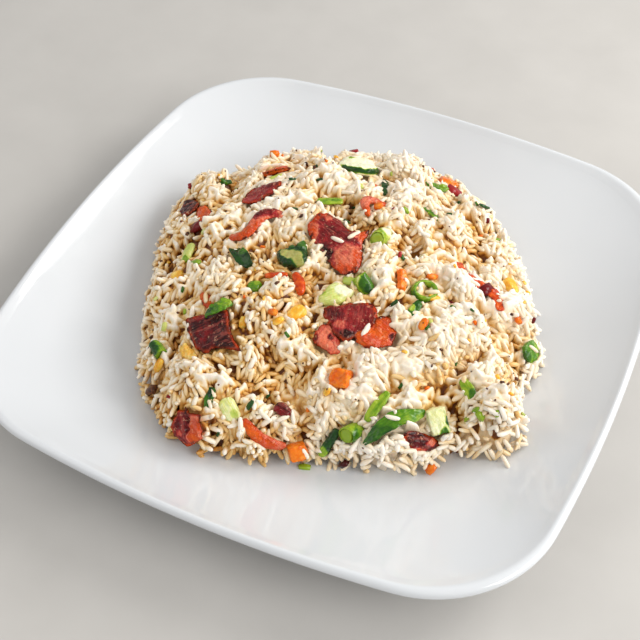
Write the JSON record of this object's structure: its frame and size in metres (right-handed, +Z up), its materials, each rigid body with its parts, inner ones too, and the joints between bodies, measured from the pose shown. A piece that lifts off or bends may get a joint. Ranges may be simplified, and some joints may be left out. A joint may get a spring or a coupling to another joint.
{
  "type": "fried rice plate",
  "caption": "Heap of fried rice with cured meat, scallion, zucchini and carrot on a white rounded-square coupe plate.",
  "frame": {"origin": "under the middle of the plate, on the surface that its foot ring stands on", "axes": "+Z up; +X and +Y point at the middles of two neighbouring sides of the plate"},
  "size_m": [0.266, 0.266, 0.0542],
  "materials": {
    "glaze": "white porcelain under a clear glossy glaze",
    "rice": "moist cooked rice, cream to light tan between the grains",
    "lean": "dark red lean cured meat, oily",
    "fat": "orange-brown seared fat of cured meat, oily",
    "pink": "pale pink cured meat, moist",
    "pepper": "soft orange-red strips",
    "green": "fresh green stalk and leaf",
    "dark": "dark green skin and leaf",
    "pale": "pale green translucent flesh",
    "carrot": "cooked carrot",
    "corn": "golden sweetcorn and egg"
  },
  "bodies": {
    "root": {"plate": "glaze", "rice": "rice", "meat_crown": "lean", "meat_middle": "lean", "meat_middle_pale": "pink", "meat_middle_fat": "fat", "meat_left": "lean", "meat_left_tip": "fat", "meat_corner": "lean", "meat_back_left": "lean", "meat_arch": "fat", "meat_back": "fat", "meat_edge_dark": "lean", "meat_edge_fat": "fat", "meat_hook": "fat", "meat_right": "pepper", "meat_front": "lean", "meat_front_left": "fat", "meat_sunk": "lean", "meat_back_bit": "fat", "meat_behind": "lean", "meat_behind_left": "fat", "pepper_strip": "pepper", "pepper_sliver": "pepper", "carrot_middle": "carrot", "carrot_low_left": "carrot", "carrot_right": "carrot", "carrot_behind": "carrot", "corn_middle": "corn", "corn_left": "corn", "corn_right": "corn", "egg_left": "corn", "zucchini_curl": "dark", "zucchini_slice": "pale", "zucchini_block": "pale", "leek_low": "pale", "leek_middle": "pale", "leek_back_left": "pale", "tube_front": "green", "tube_middle": "dark", "tube_upper": "pale", "tube_left": "dark", "ring_right": "green", "tail_right": "green", "strip_front": "green", "stem_front": "dark", "strip_upper": "green", "strip_right": "green", "leaf_front": "dark", "leaf_left": "dark", "leaf_on_meat": "green", "leaf_low_left": "dark", "leaf_far_right": "green", "leaf_back": "dark", "leaf_behind": "green", "curl_far_right": "green", "crescent_back": "pale", "dice_left": "green", "square_right": "green"}
  },
  "joints": []
}
